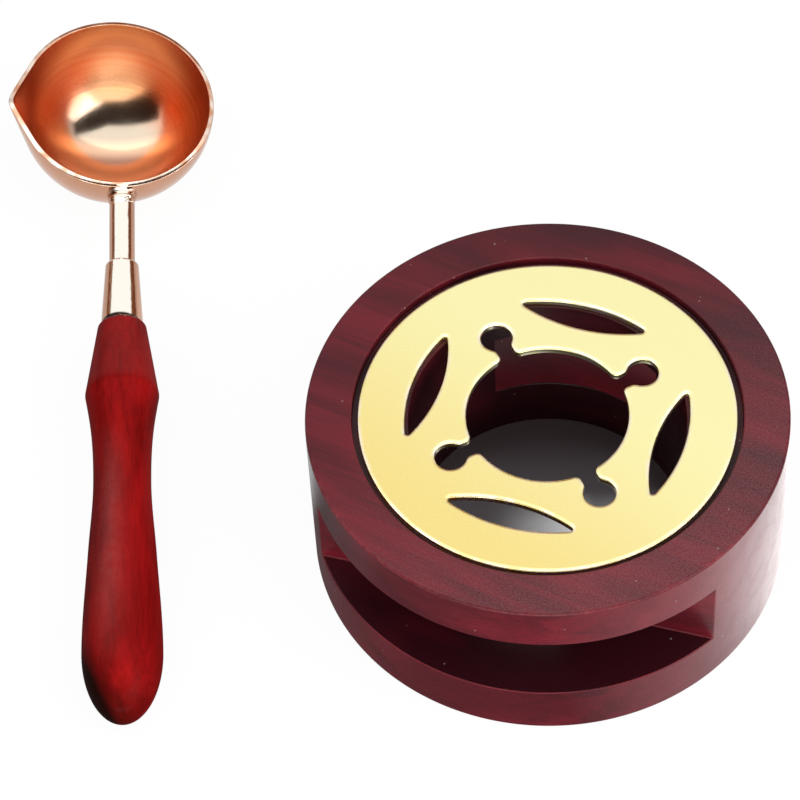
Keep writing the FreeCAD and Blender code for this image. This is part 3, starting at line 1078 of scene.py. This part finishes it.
# %% Lathe tree
def make_lathe_tree():
    tree, given, result = new_group("lathe", "GeometryNodeTree", [
        ("Profile", GEOMETRY, None),
        ("Segments", INTEGER, 96),
        ("Finish", MATERIAL, None),
    ], [("Geometry", GEOMETRY)])
    points = made_by(tree, "GeometryNodeCurveToPoints", "Points", {"Curve": given["Profile"]},
                     mode="EVALUATED")
    rows = made_by(tree, "GeometryNodeAttributeDomainSize", "Point Count", {"Geometry": points},
                   component="POINTCLOUD")
    columns = plus(tree, given["Segments"], 1.0)
    grid = made_by(tree, "GeometryNodeMeshGrid", "Mesh", {"Vertices X": rows, "Vertices Y": columns})
    index = made_by(tree, "GeometryNodeInputIndex", "Index")
    row = calculate(tree, "FLOOR", calculate(tree, "DIVIDE", plus(tree, index, 0.5), columns))
    column = calculate(tree, "SUBTRACT", index, times(tree, row, columns))
    sample = add_node(tree, "GeometryNodeSampleIndex", {"Geometry": points, "Index": row},
                      data_type="FLOAT_VECTOR", domain="POINT")
    value = next(socket for socket in sample.inputs if socket.name == "Value" and socket.type == "VECTOR")
    feed(tree, value, made_by(tree, "GeometryNodeInputPosition", "Position"))
    profile = next(socket for socket in sample.outputs if socket.type == "VECTOR" and socket.enabled)
    drawn = add_node(tree, "ShaderNodeSeparateXYZ", {"Vector": profile}).outputs
    angle = times(tree, column, calculate(tree, "DIVIDE", 2 * math.pi, given["Segments"]))
    swung = made_by(tree, "ShaderNodeCombineXYZ", "Vector", {
        "X": drawn["X"],
        "Y": times(tree, drawn["Z"], calculate(tree, "SINE", angle)),
        "Z": times(tree, drawn["Z"], calculate(tree, "COSINE", angle)),
    })
    turned = made_by(tree, "GeometryNodeSetPosition", "Geometry", {"Geometry": grid, "Position": swung})
    coat(tree, merged(tree, turned, 1e-7), given["Finish"], result)
    return tree


lathe_tree = make_lathe_tree()
print("lathe tree:", len(lathe_tree.nodes), "nodes")
flank_turns = (0.45, 0.75)


def mark_flanks(mesh):
    """Mark how far to the side of the stem's axis each point lies, from 0 on top to 1."""
    turns = [abs(math.atan2(vertex.co.y, vertex.co.z)) for vertex in mesh.vertices]
    mark(mesh, "flank", np.interp(turns, flank_turns, (0.0, 1.0)))


def turn_profile(name, profile, segments, material):
    """Turn a profile of (along, radius) points into a closed mesh on the spoon's stem axis."""
    source = outline_object(name + "_profile", [([(x, 0, r) for x, r in profile], False)])
    mesh = outward(grow(source, lathe_tree, {"Segments": segments, "Finish": material}))
    mesh.shade_smooth()
    mark_flanks(mesh)
    return mesh


# %% [markdown]
# ## Stem and ferrule
# The stem is a plain rod whose far end is a tang, hidden in the handle. The ferrule is a tapered
# collar round it. A Bevel modifier could break their corners, but small rounds in the profile itself
# are turned along with the rest.

# %% Stem and ferrule
stem_radius = 0.00205
stem_start, ferrule_start, handle_start = 0.0170201, 0.0299201, 0.0416201
tang_length = 0.018
tang_end = handle_start + tang_length
sleeve_radius = 0.00213
ferrule_front_radius, ferrule_back_radius = 0.00265, 0.00337
ferrule_round = 0.00018
joint_shade_width, joint_shade_fade = 0.0008, 0.0002
metal_segments = 96


def corner_round(before, corner, after, radius, count=5):
    """Points of a small round that replaces a profile's corner."""
    first = corner + (before - corner).normalized() * radius
    last = corner + (after - corner).normalized() * radius
    return [bent(first, corner, last, k / count) for k in range(count + 1)]


def rounded_run(corners, rounds, count):
    """A straight run between the middle two of four corners, with a round at each of its ends."""
    before, first, last, after = [Vector(corner) for corner in corners]
    run = corner_round(before, first, last, rounds[0])
    run += [first.lerp(last, k / count) for k in range(1, count)]
    return run + corner_round(first, last, after, rounds[1])


stem_corners = [(stem_start, 0), (stem_start, stem_radius), (tang_end, stem_radius), (tang_end, 0)]
stem_run = rounded_run(stem_corners, (ferrule_round, ferrule_round), count=24)
stem_profile = [stem_corners[0], *stem_run, stem_corners[3]]
stem_mesh = turn_profile("stem", stem_profile, metal_segments, stem_rose_gold)

ferrule_corners = [(ferrule_start, sleeve_radius), (ferrule_start, ferrule_front_radius),
                   (handle_start, ferrule_back_radius), (handle_start, sleeve_radius)]
ferrule_run = rounded_run(ferrule_corners, (ferrule_round, 2.4 * ferrule_round), count=72)
ferrule_profile = [ferrule_corners[0], *ferrule_run, ferrule_corners[3], ferrule_corners[0]]
ferrule_mesh = turn_profile("ferrule", ferrule_profile, metal_segments, stem_rose_gold)


def joint_shade_at(place):
    """Painted shade in the joint at the ferrule's end, widest on top and a little to the left."""
    turn = math.atan2(-place.y, place.z)
    width = joint_shade_width * max(0.0, math.cos(turn - 0.25))
    return np.interp(handle_start - place.x, (width, width + joint_shade_fade), (1.0, 0.0))


mark_by_place(ferrule_mesh, "dark_mark", joint_shade_at)

plated = (("stem_rod", stem_mesh, "spoon_stem"), ("tapered_ferrule", ferrule_mesh, "spoon_ferrule"))
for name, mesh, node in plated:
    mesh.transform(stem_matrix)
    finish_piece(name, mesh, "spoon", node, stem_rose_gold)

# %% [markdown]
# ## The handle
# The handle starts as a short cone up to a ridge, falls into a hollow, and swells again towards a
# rounded butt. The hollow and swell are one smooth curve through a few sizes, drawn as cubic pieces
# that meet with the same slope. Straight steps would need many more sizes to look as smooth. The butt
# is a quarter of an ellipse.

# %% Handle profile
handle_length = 0.0702
handle_segments = 128
handle_front_radius = 0.00382
handle_lip_round, ridge_round = 0.00036, 0.0003
handle_shares = [(0.183, 0.0058), (0.272, 0.00489), (0.41, 0.004475), (0.59, 0.00525), (0.835, swell_radius)]


def handle_place(share):
    return handle_start + handle_length * share


def smooth_run(points, first_slope, last_slope, count=14):
    """Cubic pieces through points, with each inner slope taken from its neighbours."""
    slopes = [first_slope]
    for before, here, after in zip(points, points[1:], points[2:]):
        left = (here[1] - before[1]) / (here[0] - before[0])
        right = (after[1] - here[1]) / (after[0] - here[0])
        near, far = here[0] - before[0], after[0] - here[0]
        slopes.append((left * far + right * near) / (near + far))
    slopes.append(last_slope)
    made = []
    for (x0, r0), (x1, r1), s0, s1 in zip(points, points[1:], slopes, slopes[1:]):
        width = x1 - x0
        for k in range(count):
            t = k / count
            height = (2 * t ** 3 - 3 * t ** 2 + 1) * r0 + (t ** 3 - 2 * t ** 2 + t) * width * s0
            height += (3 * t ** 2 - 2 * t ** 3) * r1 + (t ** 3 - t ** 2) * width * s1
            made.append((x0 + width * t, height))
    return made


grip_points = [(handle_place(share), radius) for share, radius in handle_shares]
first_fall = (grip_points[1][1] - grip_points[0][1]) / (grip_points[1][0] - grip_points[0][0])
grip = smooth_run(grip_points, 1.15 * first_fall, 0.0)
front_corner, ridge = (handle_start, handle_front_radius), grip_points[0]
handle_profile = [(tang_end, 0), (tang_end, sleeve_radius), (handle_start, sleeve_radius)]
handle_corners = [handle_profile[-1], front_corner, ridge, grip[2]]
handle_profile += rounded_run(handle_corners, (handle_lip_round, ridge_round), count=12)
handle_profile += [p for p in grip if p[0] > ridge[0] + ridge_round]
butt = handle_place(1.0) - swell_place
handle_profile += [(swell_place + butt * math.sin(a), swell_radius * math.cos(a))
                   for a in np.linspace(0, math.pi / 2, 28)]
handle_mesh = turn_profile("handle", handle_profile, handle_segments, handle_wood)
print("the handle's profile has", len(handle_profile), "points")


# %% Handle finish
def along_and_turn(place):
    """Where a point of the handle lies: its share of the length, and its angle from the top leftwards."""
    return (place.x - handle_start) / handle_length, math.atan2(-place.y, place.z)


def bell(value, middle, width):
    """A soft hill, 1 at its middle."""
    return math.exp(-((value - middle) / width) ** 2)


def handle_shade_at(place):
    """Painted shade: a little at both sides, most at the butt's lower left, and more towards its end."""
    along, turn = along_and_turn(place)
    left, up = -place.y / swell_radius, place.z / swell_radius
    low_left = np.clip(1.1 * left - 0.2 * up + 5.0 * (along - 0.88), 0.0, 1.0)
    sides = np.interp(turn, (-1.6, -1.1, 0.1, 1.2), (0.3, 0.0, 0.0, 0.55))
    end = np.interp(along, (0.92, 1.0), (0.0, 0.8))
    return max(low_left ** 2 * (3 - 2 * low_left), sides, end)


def handle_sheen_at(place):
    """Painted highlight: a pale strip along the top, a little to the left, and a paler cone."""
    along, turn = along_and_turn(place)
    strip = bell(turn, 0.3, 0.4) * np.interp(along, (0.28, 0.45, 0.72, 0.9), (0.0, 0.26, 0.26, 0.0))
    cone = np.interp(along, (0.16, 0.183), (0.1, 0.0))
    return max(strip, cone)


# Painted shade, then a painted highlight, marked on the handle
mark_by_place(handle_mesh, "stain_and_shade", handle_shade_at)
mark_by_place(handle_mesh, "painted_sheen", handle_sheen_at)
handle_mesh.transform(stem_matrix)
finish_piece("turned_handle", handle_mesh, "spoon", "spoon_handle", handle_wood)

# %% [markdown]
# ## The braze
# Hard solder joins the slanted end of the stem to the bowl. It set as an uneven bead, with a crevice
# under the bowl's lip and a small pit. It could be sculpted, but then it would be hard to repeat. So
# rings of points run from inside the bowl's wall to the stem, and a fixed noise field makes the bead
# lumpy.

# %% Braze
braze_rows, braze_around = 26, 72
braze_swell, braze_flare, braze_lump = 0.00032, 0.00028, 0.0002
crevice_depth, pit_depth = 0.0006, 0.00045
stem_overlap = 0.0006
stem_slant = math.tan(math.radians(26.0))


def braze_point(part, turn):
    """A point of the bead. Part goes from the bowl's wall to the stem, and turn goes round the stem."""
    side, up = math.sin(turn), math.cos(turn)
    flare = braze_flare * math.exp(-part / 0.12)
    fade = min(1.0, (1 - part) / 0.25)
    radius = stem_radius + (braze_swell * (1 - 0.6 * part) + flare) * math.sqrt(fade)
    lump = noise.noise(Vector((1.7 * side, 1.7 * up, 3.0 * part)) + Vector((4, 2, 7)))
    crevice = bell(part, 0.28, 0.16) * max(0.0, up) ** 2
    pit = bell(part, 0.72, 0.07) * bell(turn, 0.55, 0.2)
    radius += (braze_lump * lump - pit_depth * pit) * fade - crevice_depth * crevice
    y, z = radius * side, radius * up
    middle_wall = ball_radius - bowl_wall / 2
    first = math.sqrt(middle_wall ** 2 - (y + stem_side) ** 2 - (z + stem_level) ** 2)
    last = stem_start + stem_overlap + z * stem_slant
    return first + (last - first) * part, y, z


def draw_braze(grid):
    faces = tube_faces(braze_rows, braze_around)
    faces.append(tuple(range(braze_around)))
    faces.append(tuple(range((braze_rows - 1) * braze_around, braze_rows * braze_around)))
    mesh = bpy.data.meshes.new("braze")
    mesh.from_pydata([braze_point(part, turn) for part, turn in grid], [], faces)
    return outward(mesh)


braze_grid = [(k / (braze_rows - 1), 2 * math.pi * j / braze_around)
              for k in range(braze_rows) for j in range(braze_around)]
braze_mesh = draw_braze(braze_grid)
braze_mesh.shade_smooth()
mark_flanks(braze_mesh)
# Painted shade in the crevice under the bowl's lip, on the bead's upper left
mark(braze_mesh, "dark_mark", [bell(part, 0.26, 0.208) * bell(turn, 5.55, 0.3) for part, turn in braze_grid])
braze_mesh.transform(stem_matrix)
finish_piece("braze_joint", braze_mesh, "spoon", "braze_bead", stem_rose_gold)

# %% [markdown]
# ## Table and light
# The table is plain and pale. To the camera and in mirrors it is nearly white, as in a product
# photograph, and it still takes the set's soft shadow. Under the drum its colour is a painted deep shade,
# with one painted pool of light below the plate's hole. More light would burn the set out, so the white
# comes from the kind of ray that meets the table. Its brightness in mirrors is a painted reflection: darker
# in front of the drum and brighter at its right and behind it, most of all at the drum's foot. The room is
# white to the camera and in mirrors too, and dim otherwise, so that the lamps do the lighting.

# %% Table values and helpers
camera_right, camera_up, camera_back = [Vector(facing.col[k][:3]) for k in range(3)]
level_right = Vector((camera_right.x, camera_right.y, 0)).normalized()
level_back = Vector((-camera_back.x, -camera_back.y, 0)).normalized()
floor_size = 6.0
white_share, white_level = 0.92, 1.03
mirrored_level, least_level = 0.85, 0.15
front_drop, right_gain, back_gain, foot_gain = 0.9, 1.2, 0.8, 1.4
foot_edge, foot_end = 0.037, 0.05
shade_dark, shade_light = (0.11, 0.082, 0.088, 1), (0.23, 0.21, 0.225, 1)
table_pale = (0.88, 0.87, 0.88, 1)
print("the camera's right along the table:", [round(value, 3) for value in level_right])


def blank_material(name):
    """A material with nothing but its output, whose Surface comes back to be fed."""
    material = bpy.data.materials.new(name)
    material.use_nodes = True
    tree = material.node_tree
    tree.nodes.clear()
    return material, tree, add_node(tree, "ShaderNodeOutputMaterial").inputs["Surface"]


def ray_kinds(tree):
    """1 on rays from the camera, and 1 on rays from a mirror or through glass."""
    path = add_node(tree, "ShaderNodeLightPath").outputs
    mirrored = calculate(tree, "MAXIMUM", path["Is Glossy Ray"], path["Is Transmission Ray"])
    return path["Is Camera Ray"], mirrored


def reach(tree, place, direction):
    """How far a place lies in a direction."""
    return made_by(tree, "ShaderNodeVectorMath", "Value", {0: place, 1: direction}, operation="DOT_PRODUCT")


# %% Table material
def make_table_material():
    material, tree, surface = blank_material("table_white")
    by_camera, mirrored = ray_kinds(tree)
    place = made_by(tree, "ShaderNodeTexCoord", "Object")
    away = made_by(tree, "ShaderNodeVectorMath", "Value", {0: place}, operation="LENGTH")
    ahead, aside = reach(tree, place, -level_back), reach(tree, place, level_right)
    outside = spread(tree, away, bore_radius, drum_radius)
    # A painted pool of light below the plate's hole
    spot = times(tree, spread(tree, aside, -0.011, 0.012, 0.0, 0.7), spread(tree, ahead, -0.007, 0.0))
    spot = times(tree, spot, spread(tree, aside, 0.0045, 0.0075, 1.0, 0.25))
    # Painted reflection: how bright the table is in mirrors, round the drum
    front, right = calculate(tree, "DIVIDE", ahead, away), calculate(tree, "DIVIDE", aside, away)
    drop = spread(tree, front, 0.35, 0.85, 0.0, front_drop)
    gain = spread(tree, right, -1.0, 1.0, -0.5 * right_gain, right_gain)
    at_foot = spread(tree, away, foot_edge, foot_end, foot_gain, 1.0)
    behind = spread(tree, front, -0.05, -0.3, 0.0, back_gain)
    change = plus(tree, times(tree, calculate(tree, "SUBTRACT", gain, drop), at_foot), behind)
    change = times(tree, change, spread(tree, away, 0.09, 0.06))
    level = calculate(tree, "MAXIMUM", plus(tree, change, mirrored_level), least_level)
    strength = plus(tree, times(tree, mirrored, level), times(tree, by_camera, white_level))
    seen = calculate(tree, "MAXIMUM", times(tree, by_camera, white_share), mirrored)
    share = times(tree, seen, calculate(tree, "MAXIMUM", outside, spot))
    # Painted shade under the drum, lighter in the middle and towards the front
    lit = times(tree, spread(tree, ahead, -0.02, -0.006), spread(tree, away, 0.02, 0.015))
    pale = mix_colours(tree, outside, mix_colours(tree, lit, shade_dark, shade_light), table_pale)
    matte = made_by(tree, "ShaderNodeBsdfDiffuse", "BSDF", {"Color": pale})
    white = made_by(tree, "ShaderNodeEmission", "Emission", {"Color": (1, 1, 1, 1), "Strength": strength})
    feed(tree, surface, made_by(tree, "ShaderNodeMixShader", "Shader", {0: share, 1: matte, 2: white}))
    return material


# %% Table
def oblong(left, right, low, high):
    """The four corners of an oblong."""
    return [(left, low), (right, low), (right, high), (left, high)]


def make_sheet(name, corners, material):
    """A flat sheet of the stage, from its corners."""
    mesh = bpy.data.meshes.new(name)
    mesh.from_pydata([tuple(corner) for corner in corners], [], [tuple(range(len(corners)))])
    mesh.materials.append(material)
    sheet = bpy.data.objects.new(name, mesh)
    scene.collection.objects.link(sheet)
    return sheet


half_floor = floor_size / 2
floor_corners = [(x, y, 0) for x, y in oblong(-half_floor, half_floor, -half_floor, half_floor)]
make_sheet("table", floor_corners, make_table_material())
print("table of", floor_size, "m laid under the set")

# %% World
world = bpy.data.worlds.new("studio")
scene.world = world
world.use_nodes = True
sky = world.node_tree
backdrop = next(node for node in sky.nodes if node.type == "BACKGROUND")
room_light = 0.2
seen = calculate(sky, "MAXIMUM", *ray_kinds(sky))
feed(sky, backdrop.inputs["Strength"], spread(sky, seen, 0.0, 1.0, room_light, 1.0))
feed(sky, backdrop.inputs["Color"], (1, 1, 1, 1))
print("the room lights the set at", room_light)

# %% [markdown]
# ## Soft boxes and cards
# A wide soft box hangs overhead, one stands at the right, and a low strip in front lights the drum's
# wall under the rim. Metal needs something dark to mirror as well, or it looks like paper. More lamps
# can't give that, so cards are used that only mirrors show. Two dark ones stand where the camera is.
# Where the bowl mirrors them a second time they are bright, as its own lit wall would be. A brown one
# stands low at the back, brown ones stand at both sides of the stem, and a bright one in front draws
# the pale arc at the bowl's edge. A card is placed by angles, as seen from what mirrors it.

# %% Soft boxes
def aimed(place, across):
    """A matrix at a place, with its -Z side towards the set and its X side across."""
    back = Vector(place).normalized()
    side = (across - back * across.dot(back)).normalized()
    return Matrix.Translation(place) @ Matrix((side, back.cross(side), back)).transposed().to_4x4()


def soft_box(name, place, across, width, height, power):
    lamp = bpy.data.lights.new(name, "AREA")
    lamp.shape = "RECTANGLE"
    lamp.size, lamp.size_y = width, height
    lamp.energy = power
    lit = bpy.data.objects.new(name, lamp)
    scene.collection.objects.link(lit)
    lit.matrix_world = aimed(place, across)


soft_box("overhead_box", (0.12, -0.45, 1.25), level_right, width=3.6, height=2.2, power=22.5)
soft_box("right_box", (1.0, -0.2, 0.75), level_back, width=0.9, height=0.9, power=6.0)
soft_box("front_strip", (0.4, -1.15, 0.17), level_right, width=1.6, height=0.25, power=5.5)
print("soft boxes:", [lamp.name for lamp in bpy.data.lights])

# %% Cards
card_distance = 1.3
dark = (0.02, 0.007, 0.003)


def toward(side, rise, ahead, right, up):
    """A direction turned from straight ahead by angles to the side and upwards, in degrees."""
    side, rise = math.radians(side), math.radians(rise)
    return (ahead * math.cos(side) + right * math.sin(side)) * math.cos(rise) + up * math.sin(rise)


def make_card(name, target, axes, corner_angles, colour, again=None):
    """A card that only mirrors show, with corners at (side, rise) angles as seen from the target.

    Again is its colour when it is mirrored a second time, inside the bowl."""
    material, tree, surface = blank_material(name)
    depth = made_by(tree, "ShaderNodeLightPath", "Glossy Depth")
    twice = calculate(tree, "GREATER_THAN", depth, 1.5)
    shown = mix_colours(tree, twice, (*colour, 1), (*(again or colour), 1))
    feed(tree, surface, made_by(tree, "ShaderNodeEmission", "Emission", {"Color": shown, "Strength": 1.0}))
    corners = [target + card_distance * toward(side, rise, *axes) for side, rise in corner_angles]
    card = make_sheet(name, corners, material)
    card.visible_camera = False
    card.visible_diffuse = False
    card.visible_shadow = False


camera_axes = (camera_back, camera_right, camera_up)
level_axes = (level_back, level_right, Vector((0, 0, 1)))
make_card("camera_card", spoon_place, camera_axes,
          [(-52, -20), (-20, -32), (10, -31), (18, -10), (62, 16), (64, 30), (15, 20), (-52, 12)],
          dark, (0.9, 0.85, 0.8))
make_card("middle_card", spoon_place - 0.01 * camera_back, camera_axes, oblong(-15, 15, -15, 16),
          dark, (2.4, 2.2, 2.0))
make_card("back_card", spoon_place, level_axes, oblong(-38, 38, 1, 27), (0.35, 0.18, 0.12))
make_card("front_card", spoon_place, level_axes, oblong(140, 220, 18, 36), (2.2, 1.95, 1.5))
for name, side in (("left_card", -1), ("right_card", 1)):
    make_card(name, stem_matrix @ Vector((ferrule_start, 0, 0)), level_axes,
              oblong(side * 36, side * 80, -2, 22), (0.3, 0.16, 0.1))
